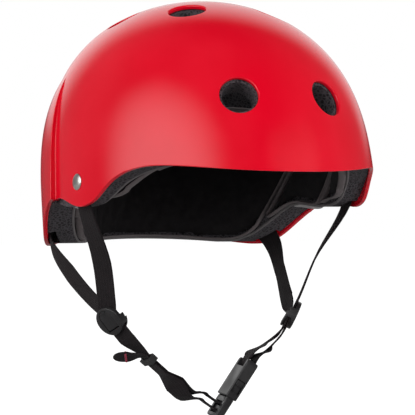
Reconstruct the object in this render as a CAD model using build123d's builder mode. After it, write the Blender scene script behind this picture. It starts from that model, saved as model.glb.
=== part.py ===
from build123d import *
from math import cos, radians, sin
import os

# Frame: +Z up, the face looks along -Y, the wearer's right is -X.
# Z = 0 is the tip of the ear flaps, X = 0 the middle plane, Y = 0 the widest section.
# All sizes are in millimetres.

# Dome: a round form that is longer behind than in front and leans back as it rises
half_width = 110.5
front_reach = 118.5
rear_reach = 141.5
equator_z = -6.6
crown_rise = 151.7
dome_power_share = 3.11
lean_share = 0.141
lean_z = 28.0
skirt_z = -44.0

# Raised rear part of the shell
step_height = 4.0
step_fade = 8.6
ridge_foot_y = 23.2
ridge_foot_z = 12.0
ridge_mid_y = 30.0
ridge_mid_z = 54.0
ridge_top_y = 38.3
ridge_top_z = 77.2

# Rims of the shell and of the liner, seen from the side: lengths and heights in half widths
shell_rim_shares = [
    (-1.400, 0.196),
    (-1.075, 0.208),
    (-0.884, 0.232),
    (-0.704, 0.243),
    (-0.599, 0.232),
    (-0.516, 0.206),
    (-0.439, 0.165),
    (-0.366, 0.102),
    (-0.299, 0.045),
    (-0.235, 0.017),
    (-0.172, 0.004),
    (-0.101, 0.008),
    (-0.017, 0.027),
    (0.072, 0.047),
    (0.163, 0.055),
    (0.257, 0.036),
    (0.344, -0.005),
    (0.433, -0.059),
    (0.530, -0.132),
    (0.627, -0.204),
    (0.724, -0.244),
    (0.833, -0.248),
    (0.950, -0.231),
    (1.086, -0.212),
    (1.276, -0.203),
    (1.600, -0.202),
]
liner_rim_shares = [
    (-1.400, 0.210),
    (-1.075, 0.222),
    (-0.884, 0.246),
    (-0.704, 0.256),
    (-0.599, 0.243),
    (-0.516, 0.219),
    (-0.439, 0.186),
    (-0.366, 0.146),
    (-0.299, 0.098),
    (-0.235, 0.055),
    (-0.172, 0.027),
    (-0.101, 0.013),
    (-0.017, 0.006),
    (0.072, 0.005),
    (0.163, 0.012),
    (0.257, 0.022),
    (0.344, 0.008),
    (0.433, -0.042),
    (0.530, -0.113),
    (0.627, -0.184),
    (0.724, -0.226),
    (0.833, -0.233),
    (0.950, -0.221),
    (1.086, -0.208),
    (1.276, -0.204),
    (1.600, -0.204),
]

# Layers, from the outside in
shell_wall = 3.2
layer_gap = 0.3
liner_wall = 14.0
patch_thickness = 0.8
pad_thickness = 6.5
pad_edge = 3.2
pad_lift = 2.6
pad_draw = 1.0
pad_clear = 0.5
pad_end_share = 0.75
brow_pad_end = 90.0
side_pad_start = 93.5
side_pad_end = 122.0
nape_pad_start = 125.5
brow_pad_lean_share = 1.0
nape_pad_lean_share = 0.7
brow_pad_height = 34.0
side_pad_height = 38.0
nape_pad_height = 55.0
crown_pad_y = 14.0
crown_pad_width = 52.0
crown_pad_length = 84.0
patch_clear = 0.05
patch_height = 16.0
patch_width = 24.0
patch_azimuths = [-55.0, 0.0, 55.0, -104.0, 104.0, -150.0, 150.0]
rim_steps = 300
overrun = 30.0

# Vents: azimuth from straight ahead and elevation, seen from inside the head
vent_radius = 12.75
vent_edge = 1.2
liner_vent_radius = 11.0
vent_depth = 60.0
vent_pairs = [(18.9, 23.5), (52.9, 68.8), (119.1, 59.0), (148.0, 35.0), (161.0, 9.0)]
vent_rear = (180.0, 58.0)

# Webbing
web_width = 15.0
web_thickness = 1.3
web_clear = 0.35
web_meet = 1.6
channel_clear = 2.4
channel_length = 46.0
channel_depth = 8.5
channel_rise = 3.0
anchor_tail = 8.0

# Route of the webbing, right side: places across are shares of the half width
front_bend_x_share = -0.77
front_bend_y = 0.0
front_bend_z = -36.8
front_entry_x = 7.0
front_lie_x = 0.6
rear_exit_y = 71.0
rear_exit_z = -25.5
rear_bend_x_share = -0.775
rear_bend_y = 50.0
rear_bend_z = -46.4
rear_entry_x = -7.5
rear_lie_x = -0.8
left_middle_x_share = 0.421
left_middle_y = 6.5
left_middle_z = -100.3
left_bow = 2.6
keeper_x_share = -0.412
keeper_y = 6.3
keeper_z = -104.6
bend_x_share = -0.246
bend_y = 2.5
bend_z = -121.8
sweep_x_share = -0.155
sweep_y = 2.2
sweep_z = -129.2
tail_fold_x_share = -0.535
tail_fold_y = 12.0
tail_fold_z = -103.0
tail_end_x_share = -0.618
tail_end_y = 17.1
tail_end_z = -103.5

# Rivets and their washers
rivet_head_radius = 5.5
rivet_head_height = 1.6
rivet_shank_radius = 2.2
rivet_clear = 0.05
washer_radius = 6.0
washer_thickness = 0.9
pocket_clear = 0.6
front_rivet_y = -14.0
front_rivet_z = 17.0
rear_rivet_y = 88.0
rear_rivet_z = -10.0

# Strap divider with its locking lid
divider_x_share = -0.646
divider_y = 12.0
divider_z = -76.6
divider_length = 25.0
divider_top_radius = 10.5
divider_foot_radius = 9.7
divider_plate = 3.0
divider_back = 1.5
divider_foot_bar = 4.5
divider_edge = 0.8
lid_width = 10.4
lid_above = 8.6
lid_thickness = 2.5
lid_gap = 0.3
lid_lip = 0.7
lid_pin_radius = 0.8
lid_pin_grip = 1.6
pin_clear = 0.05
lid_pin_y = -5.0

# Side release buckle
buckle_x_share = 0.146
buckle_y = 0.0
buckle_z = -127.4
housing_start = -23.0
housing_end = 7.0
buckle_width = 24.0
housing_thickness = 8.6
housing_skin = 1.3
side_skin = 1.0
buckle_fillet = 2.4
edge_fillet = 0.8
cavity_depth = 20.5
bar_thickness = 2.6
bar_clear = 0.6
web_slot = 3.6
arm_width = 3.0
arm_tip = 16.5
arm_clear = 0.35
arm_thickness = 5.2
root_radius = 1.7
root_inset = 2.2
root_clear = 0.05
root_swing = 0.9
hook_length = 4.0
hook_travel = 5.6
prong_width = 2.2
prong_thickness = 3.2
prong_reach = 19.0
tongue_gap = 0.3
tongue_thickness = 5.4
tongue_end = 23.8
ladder_bar_x = 16.2
strand_rise = 10.0

# Keeper loop on the right chin webbing
keeper_length = 5.0
keeper_wall = 1.2
keeper_clear = 0.35
keeper_travel = 9.0
tail_step = 1.75

# Bar tack sewn on the folded tail
tack_thickness = 0.5
tack_clear = 0.15
tack_length = 1.6
tack_width = 13.0

os.makedirs("parts", exist_ok=True)


def write(piece, name):
    """Label a finished piece and write its file."""
    piece.label = name
    export_step(piece, f"parts/{name}.step")


# Dome formulas


def dome_value(point, inset):
    """Zero on the dome drawn in by inset, negative inside it."""
    level = point.Y - lean_share * (point.Z - lean_z)
    reach = front_reach if level < 0 else rear_reach
    rise = max(0.0, (point.Z - equator_z) / (crown_rise - inset))
    across = point.X / (half_width - inset)
    along = level / (reach - inset)
    return across**2 + along**2 + rise**dome_power_share - 1


def dome_normal(point):
    """The outward direction square to the dome at a point on it."""
    level = point.Y - lean_share * (point.Z - lean_z)
    reach = front_reach if level < 0 else rear_reach
    rise = max(0.0, (point.Z - equator_z) / crown_rise)
    across = 2 * point.X / half_width**2
    along = 2 * level / reach**2
    up = dome_power_share * rise ** (dome_power_share - 1) / crown_rise - lean_share * along
    return Vector(across, along, up).normalized()


def reach_dome(start, direction, inset):
    """The point where a ray from inside the dome meets it, found by halving."""
    near, far = 0.0, 2 * rear_reach
    for _ in range(50):
        middle = (near + far) / 2
        if dome_value(start + direction * middle, inset) < 0:
            near = middle
        else:
            far = middle
    return start + direction * near


def side_point(y, z, inset=0.0):
    """The point of the right side of the dome at a given length and height."""
    start = Vector(0, y, z)
    return reach_dome(start, Vector(-1, 0, 0), inset)


# Dome solids


def half_dome(widen, lower, reach):
    """Half of a dome, in front of or behind its widest section."""
    radius = half_width + widen
    rise = crown_rise - lower
    steps = 14
    outline = []
    for i in range(steps + 1):
        turn = radians(90 * i / steps)
        outline.append((radius * cos(turn), equator_z + rise * sin(turn) ** (2 / dome_power_share)))
    with BuildPart() as half:
        with BuildSketch(Plane.XZ):
            with BuildLine():
                Polyline(outline[-1], (0, skirt_z), (radius, skirt_z), outline[0])
                Spline(outline, tangents=[(0, 1), (-1, 0)])
            make_face()
        revolve(axis=Axis.Z, revolution_arc=180 if reach == rear_reach else -180)
    stretch = (reach + widen) / radius
    leaning = Matrix(
        [
            [1, 0, 0, 0],
            [0, stretch, lean_share, -lean_share * lean_z],
            [0, 0, 1, 0],
        ]
    )
    return half.part.transform_geometry(leaning)


def dome(widen, lower):
    """A whole dome, wider and lower than the outer form by the given distances."""
    return half_dome(widen, lower, front_reach) + half_dome(widen, lower, rear_reach)


def side_prism(outline):
    """A closed outline of lengths and heights, carried right across the helmet."""
    with BuildPart() as prism:
        with BuildSketch(Plane.YZ):
            with BuildLine():
                add(outline)
            make_face()
        extrude(amount=half_width + overrun, both=True)
    return prism.part


def behind_ridge(shift):
    """The space behind the ridge of the raised rear part."""
    with BuildLine() as outline:
        foot = Line((ridge_foot_y + shift, skirt_z - overrun), (ridge_foot_y + shift, ridge_foot_z))
        bend = ThreePointArc(
            foot @ 1, (ridge_mid_y + shift, ridge_mid_z), (ridge_top_y + shift, ridge_top_z)
        )
        rise = PolarLine(bend @ 1, crown_rise - ridge_top_z + overrun, direction=bend % 1)
        far_y = rear_reach + 2 * overrun
        Polyline(rise @ 1, (far_y, (rise @ 1).Y), (far_y, skirt_z - overrun), foot @ 0)
    return side_prism(outline.line)


def stepped_dome(inset):
    """The form of the shell with its raised rear part, drawn in by inset."""
    raised = dome(step_height - inset, step_fade + inset) & behind_ridge(inset)
    return dome(-inset, inset) + raised


def rim_line(shares):
    """A rim seen from the side, past both ends of the helmet."""
    return Spline([(half_width * length, half_width * height) for length, height in shares])


def above_rim(shares):
    """The space above a rim."""
    top_z = equator_z + crown_rise + overrun
    with BuildLine() as outline:
        edge = rim_line(shares)
        Polyline(edge @ 1, ((edge @ 1).X, top_z), ((edge @ 0).X, top_z), edge @ 0)
    return side_prism(outline.line)


def vent_planes():
    """A plane on the dome for each vent, looking out."""
    middle = Vector(0, 0, lean_z)
    places = [(side * azimuth, up) for azimuth, up in vent_pairs for side in (-1, 1)]
    planes = []
    for azimuth, up in places + [vent_rear]:
        turn, climb = radians(azimuth), radians(up)
        aim = Vector(sin(turn) * cos(climb), -cos(turn) * cos(climb), sin(climb))
        point = reach_dome(middle, aim, 0)
        planes.append(Plane(origin=point, z_dir=dome_normal(point)))
    return planes


# Right side anchors, where a rivet holds each webbing inside the shell
def rivet_plane(y, z, extra):
    """A plane on the shell at a rivet, with its X along the rim and its Z outward."""
    point = side_point(y, z, -extra)
    normal = dome_normal(point)
    return Plane(origin=point, x_dir=Vector(0, 0, 1).cross(normal), z_dir=normal)


front_rivet = rivet_plane(front_rivet_y, front_rivet_z, 0)
rear_rivet = rivet_plane(rear_rivet_y, rear_rivet_z, step_height)
web_inset = shell_wall + layer_gap + web_thickness / 2 + web_clear

# Strap divider plane: X forward, Y up along its length, Z outward
divider_plane = Plane(
    origin=(divider_x_share * half_width, divider_y, divider_z),
    x_dir=(0.242, -0.865, 0.438),
    z_dir=(-0.794, -0.437, -0.425),
)

# Buckle plane: X along its length toward the tongue's ladder, Y across it, Z up out of its face
buckle_turn = radians(-104)
buckle_dip = radians(56)
across = Vector(cos(buckle_turn), sin(buckle_turn), 0)
flat_run = Vector(across.Y, -across.X, 0)
along = flat_run * cos(buckle_dip) - Vector(0, 0, 1) * sin(buckle_dip)
buckle_plane = Plane(
    origin=(buckle_x_share * half_width, buckle_y, buckle_z),
    x_dir=along,
    z_dir=along.cross(across),
)

# Webbing formulas


def ribbon(stations, thickness, width=web_width, steps=3):
    """Flat webbing through stations, each a point and the direction of its width there."""
    points = [point for point, _ in stations]
    widths = [side.normalized() for _, side in stations]
    runs = [(after - before).normalized() for before, after in zip(points, points[1:])]
    headings = [runs[0]]
    headings += [(before + after).normalized() for before, after in zip(runs, runs[1:])]
    headings.append(runs[-1])
    places = []
    for i in range(len(points) - 1):
        start, end = points[i], points[i + 1]
        length = (end - start).length
        leave, arrive = headings[i] * length, headings[i + 1] * length
        for k in range(steps + (i == len(points) - 2)):
            t = k / steps
            place = (
                start * (2 * t**3 - 3 * t**2 + 1)
                + leave * (t**3 - 2 * t**2 + t)
                + end * (3 * t**2 - 2 * t**3)
                + arrive * (t**3 - t**2)
            )
            heading = (
                start * (6 * t**2 - 6 * t)
                + leave * (3 * t**2 - 4 * t + 1)
                + end * (6 * t - 6 * t**2)
                + arrive * (3 * t**2 - 2 * t)
            ).normalized()
            side = widths[i] * (1 - t) + widths[i + 1] * t
            side = (side - heading * side.dot(heading)).normalized()
            places.append(Plane(origin=place, x_dir=side, z_dir=heading))
    with BuildPart() as strap:
        for place in places:
            with BuildSketch(place):
                Rectangle(width, thickness)
        loft(ruled=True)
    return strap.part


def mirrored(plane):
    """The plane's place on the other side of the helmet."""
    return Plane(
        origin=(-plane.origin.X, plane.origin.Y, plane.origin.Z),
        x_dir=(plane.x_dir.X, -plane.x_dir.Y, -plane.x_dir.Z),
        z_dir=(-plane.z_dir.X, plane.z_dir.Y, plane.z_dir.Z),
    )


def at_divider(x, y, level):
    """A point in or near the right divider: forward, up along it and outward."""
    return divider_plane.from_local_coords(Vector(x, y, level))


def at_left_divider(y, level):
    """The same for the middle line of the left divider."""
    point = at_divider(0, y, level)
    return Vector(-point.X, point.Y, point.Z)


def at_buckle(x, z):
    """A point on the middle plane of the buckle."""
    return buckle_plane.from_local_coords(Vector(x, 0, z))


def round_bar(x, radius, first, last, steps):
    """Points of webbing that turns round a buckle bar, between two angles from the bar's far side."""
    turns = [radians(first + (last - first) * i / steps) for i in range(steps + 1)]
    return [at_buckle(x + radius * cos(turn), radius * sin(turn)) for turn in turns]


def both_sides(piece, name):
    """Write a right-hand piece and its mirror image."""
    left = mirror(piece, about=Plane.YZ)
    write(piece, f"{name}_right")
    write(left, f"{name}_left")
    return left


# Outer shell
vents = vent_planes()
rivets = [front_rivet, rear_rivet, mirrored(front_rivet), mirrored(rear_rivet)]
hollow = stepped_dome(shell_wall)
with BuildPart() as shell:
    add(stepped_dome(0) & above_rim(shell_rim_shares))
    add(hollow, mode=Mode.SUBTRACT)
    with Locations(*rivets):
        Cylinder(rivet_shank_radius + rivet_clear, overrun, mode=Mode.SUBTRACT)
    with Locations(*vents):
        Cylinder(vent_radius, vent_depth, mode=Mode.SUBTRACT)
    vent_rims = [
        edge
        for edge in shell.edges(Select.LAST)
        if dome_value(edge @ 0.25, shell_wall / 2) > 0
    ]
    fillet(vent_rims, vent_edge)
write(shell.part, "outer_shell")

# Webbing between the shell and the dividers, right side
up, forward = front_rivet.y_dir, front_rivet.x_dir
front_anchor = front_rivet.origin - front_rivet.z_dir * web_inset
web_level = web_thickness / 2 + web_clear / 2
divider_forward = divider_plane.x_dir
front_lift = divider_length / 5
front_stations = [
    (front_anchor + up * anchor_tail, forward),
    (front_anchor, forward),
    (front_anchor - up * anchor_tail, forward),
    (
        Vector(front_bend_x_share * half_width, front_bend_y, front_bend_z),
        Vector(0.518, -0.855, 0),
    ),
    (at_divider(front_entry_x, divider_length / 2, web_level), Vector(0.44, -0.88, 0.1)),
    (at_divider(front_lie_x, front_lift, web_level), divider_forward),
    (at_divider(0, web_clear, web_level), divider_forward),
]
rear_exit = side_point(rear_exit_y, rear_exit_z, web_inset + web_clear - step_height)
rear_anchor = rear_rivet.origin - rear_rivet.z_dir * web_inset
rear_run = (rear_exit - rear_anchor).normalized()
rear_side = rear_run.cross(rear_rivet.z_dir)
rear_tail = rear_rivet.z_dir.cross(rear_side).normalized()
rear_stations = [
    (rear_anchor - rear_tail * anchor_tail, rear_side),
    (rear_anchor, rear_side),
    (rear_exit, rear_run.cross(dome_normal(rear_exit))),
    (
        Vector(rear_bend_x_share * half_width, rear_bend_y, rear_bend_z),
        Vector(0.04, 0.65, -0.76),
    ),
    (at_divider(rear_entry_x, divider_length / 2, -4 * web_thickness), Vector(0.1, 0.8, -0.55)),
    (at_divider(rear_lie_x, front_lift, -2 * web_level), -divider_forward),
    (at_divider(0, web_clear, -web_level), -divider_forward),
]


def anchored_web(stations, anchor):
    """Webbing with the hole that its rivet passes through."""
    with BuildPart() as web:
        add(ribbon(stations, web_thickness))
        with Locations(anchor):
            Cylinder(rivet_shank_radius + rivet_clear, 4 * web_thickness, mode=Mode.SUBTRACT)
    return web.part


front_web = anchored_web(front_stations, Plane(origin=front_anchor, z_dir=front_rivet.z_dir))
rear_web = anchored_web(rear_stations, Plane(origin=rear_anchor, z_dir=rear_rivet.z_dir))
both_sides(front_web, "front_strap")
both_sides(rear_web, "rear_strap")

# Foam liner, hollow inside, with channels for the webbing and pockets for the washers
liner_outside = shell_wall + layer_gap
liner_inside = liner_outside + liner_wall
channel_width = web_width + 2 * channel_clear


def web_channel(anchor, toward, outward):
    """The channel that webbing needs, from its anchor to below the rim."""
    level = Plane(origin=anchor, x_dir=toward.cross(outward), z_dir=outward)
    with BuildPart(level) as channel:
        with Locations((0, -anchor_tail - channel_clear, channel_rise)):
            Box(
                channel_width,
                channel_length,
                channel_depth,
                align=(Align.CENTER, Align.MIN, Align.MAX),
            )
    return channel.part


channels = [
    web_channel(front_anchor, -up, front_rivet.z_dir),
    web_channel(rear_anchor, rear_run, rear_rivet.z_dir),
]
pocket_depth = web_inset + web_thickness / 2 + 2 * washer_thickness + 2 * pocket_clear
with BuildPart() as liner:
    add(stepped_dome(liner_outside) & above_rim(liner_rim_shares))
    add(dome(-liner_inside, liner_inside), mode=Mode.SUBTRACT)
    with Locations(*vents):
        Cylinder(liner_vent_radius, vent_depth, mode=Mode.SUBTRACT)
    with Locations(*rivets):
        Cylinder(washer_radius + pocket_clear, 2 * pocket_depth, mode=Mode.SUBTRACT)
    for channel in channels:
        add(channel, mode=Mode.SUBTRACT)
        add(mirror(channel, about=Plane.YZ), mode=Mode.SUBTRACT)
write(liner.part, "foam_liner")

# Rivets with rolled ends, and the washers under them
washer_level = -web_inset - web_thickness / 2 - web_clear / 2 - washer_thickness
with BuildPart() as rivet_set:
    with Locations(*[plane.offset(rivet_clear) for plane in rivets]):
        Cylinder(rivet_head_radius, rivet_head_height, align=(Align.CENTER, Align.CENTER, Align.MIN))
        Cylinder(
            rivet_shank_radius,
            washer_thickness - washer_level,
            align=(Align.CENTER, Align.CENTER, Align.MAX),
        )
write(rivet_set.part, "rivets")

with BuildPart() as washer_set:
    with Locations(*[plane.offset(washer_level) for plane in rivets]):
        Cylinder(washer_radius, washer_thickness, align=(Align.CENTER, Align.CENTER, Align.MIN))
        Cylinder(rivet_shank_radius + rivet_clear, 3 * washer_thickness, mode=Mode.SUBTRACT)
write(washer_set.part, "rivet_washers")

# Pads, lofted through upright sections at successive azimuths from straight ahead
pad_seat = liner_inside + patch_thickness + pad_clear


def rim_points():
    """Lengths and heights along the rim of the liner."""
    with BuildLine() as rim:
        rim_line(liner_rim_shares)
    edge = rim.line
    return [edge @ (i / rim_steps) for i in range(rim_steps + 1)]


rim_trace = rim_points()


def rim_height(y):
    """The height of the liner's rim at a given length."""
    for start, end in zip(rim_trace, rim_trace[1:]):
        if start.X <= y <= end.X:
            return start.Y + (end.Y - start.Y) * (y - start.X) / (end.X - start.X)
    return rim_trace[-1].Y


def pad(ends, leans, height, steps):
    """A crowned pad with drawn-in edges, between two azimuths from straight ahead.

    Each end leans sideways by its share of the height.
    """
    with BuildPart() as cushion:
        for i in range(steps + 1):
            share = i / steps
            turn = radians(ends[0] + (ends[1] - ends[0]) * share)
            lean = leans[0] + (leans[1] - leans[0]) * share
            out = Vector(sin(turn), -cos(turn), 0)
            rise = Vector(lean * cos(turn), lean * sin(turn), 1)
            crown = pad_end_share if i in (0, steps) else 1.0
            foot = reach_dome(Vector(0, 0, 0), out, pad_seat)
            foot = reach_dome(rise * rim_height(foot.Y), out, pad_seat)
            low = rim_height(foot.Y) + pad_lift + (1 - crown) * pad_edge
            top = low + height - 2 * (1 - crown) * pad_edge
            levels = [low, (low + top) / 2, top]
            reaches = [(reach_dome(rise * z, out, pad_seat) - rise * z).dot(out) for z in levels]
            slant = rise.length
            seats = [(reach, z * slant) for reach, z in zip(reaches, levels)]
            inner_low = (reaches[0] - pad_edge, (low + pad_draw) * slant)
            inner_middle = (reaches[1] - pad_thickness * crown, levels[1] * slant)
            inner_top = (reaches[2] - pad_edge, (top - pad_draw) * slant)
            with BuildSketch(Plane(origin=(0, 0, 0), x_dir=out, z_dir=out.cross(rise))):
                with BuildLine():
                    ThreePointArc(*seats)
                    Line(seats[2], inner_top)
                    ThreePointArc(inner_top, inner_middle, inner_low)
                    Line(inner_low, seats[0])
                make_face()
        loft()
    return cushion.part


brow_pad = pad(
    (-brow_pad_end, brow_pad_end),
    (brow_pad_lean_share, -brow_pad_lean_share),
    brow_pad_height,
    12,
)
side_pad = pad(
    (-side_pad_start, -side_pad_end),
    (brow_pad_lean_share, nape_pad_lean_share),
    side_pad_height,
    4,
)
nape_pad = pad(
    (nape_pad_start, 360 - nape_pad_start),
    (-nape_pad_lean_share, nape_pad_lean_share),
    nape_pad_height,
    10,
)
write(brow_pad, "brow_pad")
both_sides(side_pad, "side_pad")
write(nape_pad, "nape_pad")

with BuildPart() as crown_pad:
    with BuildSketch():
        with Locations((0, crown_pad_y)):
            Ellipse(crown_pad_width / 2, crown_pad_length / 2)
    extrude(amount=2 * crown_rise)
    add(dome(-pad_seat, pad_seat), mode=Mode.INTERSECT)
    add(dome(-pad_seat - pad_thickness, pad_seat + pad_thickness), mode=Mode.SUBTRACT)
write(crown_pad.part, "crown_pad")

# Hook patches between the liner and each pad
patch_near = liner_inside + patch_clear
patch_far = patch_near + patch_thickness
with BuildPart() as patches:
    for azimuth in patch_azimuths:
        turn = radians(azimuth)
        out = Vector(sin(turn), -cos(turn), 0)
        side = reach_dome(Vector(0, 0, 0), out, pad_seat)
        level = rim_height(side.Y) + pad_lift + side_pad_height / 2
        with Locations(Plane(origin=side + Vector(0, 0, level), x_dir=(0, 0, 1), z_dir=out)):
            Box(patch_height, patch_width, 4 * pad_thickness)
    with Locations((0, crown_pad_y, crown_rise)):
        Box(patch_height, patch_width, crown_rise / 2)
    add(dome(-patch_near, patch_near), mode=Mode.INTERSECT)
    add(dome(-patch_far, patch_far), mode=Mode.SUBTRACT)
write(patches.part, "hook_patches")

# Strap dividers: an egg-shaped front plate, rails beside the webbing and a bar behind it
passage = web_thickness + web_clear
plate_middle = passage + divider_plate / 2
knuckle_radius = lid_thickness / 2
top_centre = divider_length / 2 - divider_top_radius
foot_centre = divider_foot_radius - divider_length / 2
with BuildSketch() as divider_outline:
    with BuildLine():
        with Locations((0, top_centre)):
            CenterArc((0, 0), divider_top_radius, 0, 360)
        with Locations((0, foot_centre)):
            CenterArc((0, 0), divider_foot_radius, 0, 360)
    make_hull()
with BuildPart() as divider:
    with BuildSketch(Plane.XY.offset(-passage - divider_back)):
        add(divider_outline.sketch)
    extrude(amount=divider_back + 2 * passage + divider_plate)
    fillet(divider.faces().sort_by(Axis.Z)[-1].edges(), divider_edge)
    with Locations((0, 0, -passage - divider_back)):
        Box(
            2 * divider_top_radius,
            2 * divider_length,
            divider_back,
            align=(Align.CENTER, Align.MIN, Align.MIN),
            mode=Mode.SUBTRACT,
        )
    with Locations((0, foot_centre - divider_foot_radius + 2 * divider_foot_bar, -passage - divider_back)):
        Box(
            2 * divider_top_radius,
            2 * divider_length,
            divider_back,
            align=(Align.CENTER, Align.MIN, Align.MIN),
            mode=Mode.SUBTRACT,
        )
    Box(web_width + 2 * web_clear, 2 * divider_length, 2 * passage, mode=Mode.SUBTRACT)
    Box(
        3 * divider_top_radius,
        2 * divider_length,
        2 * passage,
        align=(Align.CENTER, Align.MIN, Align.CENTER),
        mode=Mode.SUBTRACT,
    )
    with BuildSketch(Plane.XY.offset(passage)) as window:
        with Locations((0, lid_pin_y)):
            Rectangle(
                lid_width + 2 * lid_gap,
                lid_above - lid_width / 2 - lid_pin_y,
                align=(Align.CENTER, Align.MIN),
            )
            Rectangle(
                lid_width + 2 * lid_gap, knuckle_radius + lid_gap, align=(Align.CENTER, Align.MAX)
            )
        with Locations((0, lid_above - lid_width / 2)):
            Circle(lid_width / 2 + lid_gap)
    extrude(amount=divider_plate, mode=Mode.SUBTRACT)
    with Locations(Location((0, lid_pin_y, plate_middle), (0, 90, 0))):
        Cylinder(
            lid_pin_radius + pin_clear,
            lid_width + 2 * lid_gap + 2 * lid_pin_grip,
            mode=Mode.SUBTRACT,
        )

with BuildPart() as lid:
    with BuildSketch(Plane.XY.offset(plate_middle - knuckle_radius)):
        with Locations((0, lid_pin_y)):
            Rectangle(lid_width, lid_above - lid_width / 2 - lid_pin_y, align=(Align.CENTER, Align.MIN))
        with Locations((0, lid_above - lid_width / 2)):
            Circle(lid_width / 2)
    extrude(amount=lid_thickness)
    with Locations(Location((0, lid_pin_y, plate_middle), (0, 90, 0))):
        Cylinder(knuckle_radius, lid_width)
        Cylinder(lid_pin_radius + pin_clear, lid_width, mode=Mode.SUBTRACT)
    with Locations((0, lid_above - 2 * lid_lip, plate_middle + knuckle_radius)):
        Box(lid_width / 2, lid_lip, 2 * lid_lip)

with BuildPart() as lid_pin:
    with Locations(Location((0, lid_pin_y, plate_middle), (0, 90, 0))):
        Cylinder(lid_pin_radius, lid_width + 2 * lid_gap + 2 * (lid_pin_grip - pin_clear))

for piece, name in ((divider, "divider"), (lid, "divider_lid"), (lid_pin, "lid_pin")):
    both_sides(divider_plane.from_local_coords(piece.part), name)

# Buckle housing, hollow from its mouth, with side windows and a bar for the left webbing
bar_x = housing_start + bar_thickness / 2
half_cavity = buckle_width / 2 - side_skin
arm_y = half_cavity - arm_clear - arm_width / 2
root_x = housing_end + tongue_gap + root_inset
tip_x = root_x - arm_tip
slot_width = web_width + 2 * web_clear
with BuildPart() as housing:
    with Locations((housing_start, 0, 0)):
        Box(
            housing_end - housing_start,
            buckle_width,
            housing_thickness,
            align=(Align.MIN, Align.CENTER, Align.CENTER),
        )
    fillet(housing.edges().filter_by(Axis.Z).group_by(Axis.X)[0], buckle_fillet)
    fillet(housing.faces().sort_by(Axis.Z)[-1].edges(), edge_fillet)
    fillet(housing.faces().sort_by(Axis.Z)[0].edges(), edge_fillet)
    with Locations((housing_end, 0, 0)):
        Box(
            cavity_depth,
            2 * half_cavity,
            housing_thickness - 2 * housing_skin,
            align=(Align.MAX, Align.CENTER, Align.CENTER),
            mode=Mode.SUBTRACT,
        )
    with Locations((tip_x - arm_clear, 0, 0)):
        Box(
            hook_length + hook_travel + arm_clear,
            2 * buckle_width,
            housing_thickness - 2 * housing_skin,
            align=(Align.MIN, Align.CENTER, Align.CENTER),
            mode=Mode.SUBTRACT,
        )
    with Locations((housing_start + bar_thickness, 0, 0)):
        Box(
            web_slot,
            slot_width,
            2 * housing_thickness,
            align=(Align.MIN, Align.CENTER, Align.CENTER),
            mode=Mode.SUBTRACT,
        )
    for side in (-1, 1):
        with Locations((housing_start - tongue_gap, 0, side * bar_thickness / 2)):
            Box(
                bar_thickness + 2 * tongue_gap,
                slot_width,
                housing_thickness,
                align=(Align.MIN, Align.CENTER, Align.MIN if side > 0 else Align.MAX),
                mode=Mode.SUBTRACT,
            )

# Buckle tongue: a ladder frame for the right webbing, a guide prong and sockets for the arms
tongue_start = housing_end + tongue_gap
with BuildPart() as tongue:
    with Locations((tongue_start, 0, 0)):
        Box(
            tongue_end - tongue_start,
            buckle_width,
            tongue_thickness,
            align=(Align.MIN, Align.CENTER, Align.CENTER),
        )
    fillet(tongue.edges().filter_by(Axis.Z).group_by(Axis.X)[-1], buckle_fillet)
    fillet(tongue.faces().sort_by(Axis.Z)[-1].edges(), edge_fillet)
    fillet(tongue.faces().sort_by(Axis.Z)[0].edges(), edge_fillet)
    with Locations((tongue_start, 0, 0)):
        Box(
            prong_reach,
            prong_width,
            prong_thickness,
            align=(Align.MAX, Align.CENTER, Align.CENTER),
        )
    for side in (-1, 1):
        with Locations((ladder_bar_x + side * bar_thickness / 2, 0, 0)):
            Box(
                web_slot,
                slot_width,
                2 * tongue_thickness,
                align=(Align.MIN if side > 0 else Align.MAX, Align.CENTER, Align.CENTER),
                mode=Mode.SUBTRACT,
            )
        with Locations((ladder_bar_x, 0, side * bar_thickness / 2)):
            Box(
                2 * bar_thickness,
                slot_width,
                tongue_thickness,
                align=(Align.CENTER, Align.CENTER, Align.MIN if side > 0 else Align.MAX),
                mode=Mode.SUBTRACT,
            )
        with Locations((root_x, side * arm_y, 0)):
            Cylinder(root_radius + root_clear, 2 * tongue_thickness, mode=Mode.SUBTRACT)
        with Locations((root_x, side * (arm_y - root_swing / 2), 0)):
            Box(
                2 * root_inset,
                arm_width + root_swing + 2 * root_clear,
                2 * tongue_thickness,
                align=(Align.MAX, Align.CENTER, Align.CENTER),
                mode=Mode.SUBTRACT,
            )


def latch_arm(side):
    """A spring arm whose hook fills the window on one side of the housing."""
    hook_reach = buckle_width / 2 - arm_y + arm_width / 2 - tongue_gap / 2
    with BuildPart() as arm:
        with Locations((root_x, side * arm_y, 0)):
            Cylinder(root_radius, arm_thickness)
            Box(arm_tip, arm_width, arm_thickness, align=(Align.MAX, Align.CENTER, Align.CENTER))
        with Locations((tip_x, side * (arm_y - arm_width / 2), 0)):
            Box(
                hook_length,
                hook_reach,
                arm_thickness,
                align=(Align.MIN, Align.MIN if side > 0 else Align.MAX, Align.CENTER),
            )
        fillet(arm.edges().filter_by(Axis.Z).group_by(Axis.X)[0], arm_clear)
    return arm.part


write(buckle_plane.from_local_coords(housing.part), "buckle_housing")
write(buckle_plane.from_local_coords(tongue.part), "buckle_tongue")
write(buckle_plane.from_local_coords(latch_arm(1)), "latch_arm_front")
write(buckle_plane.from_local_coords(latch_arm(-1)), "latch_arm_rear")

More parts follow.
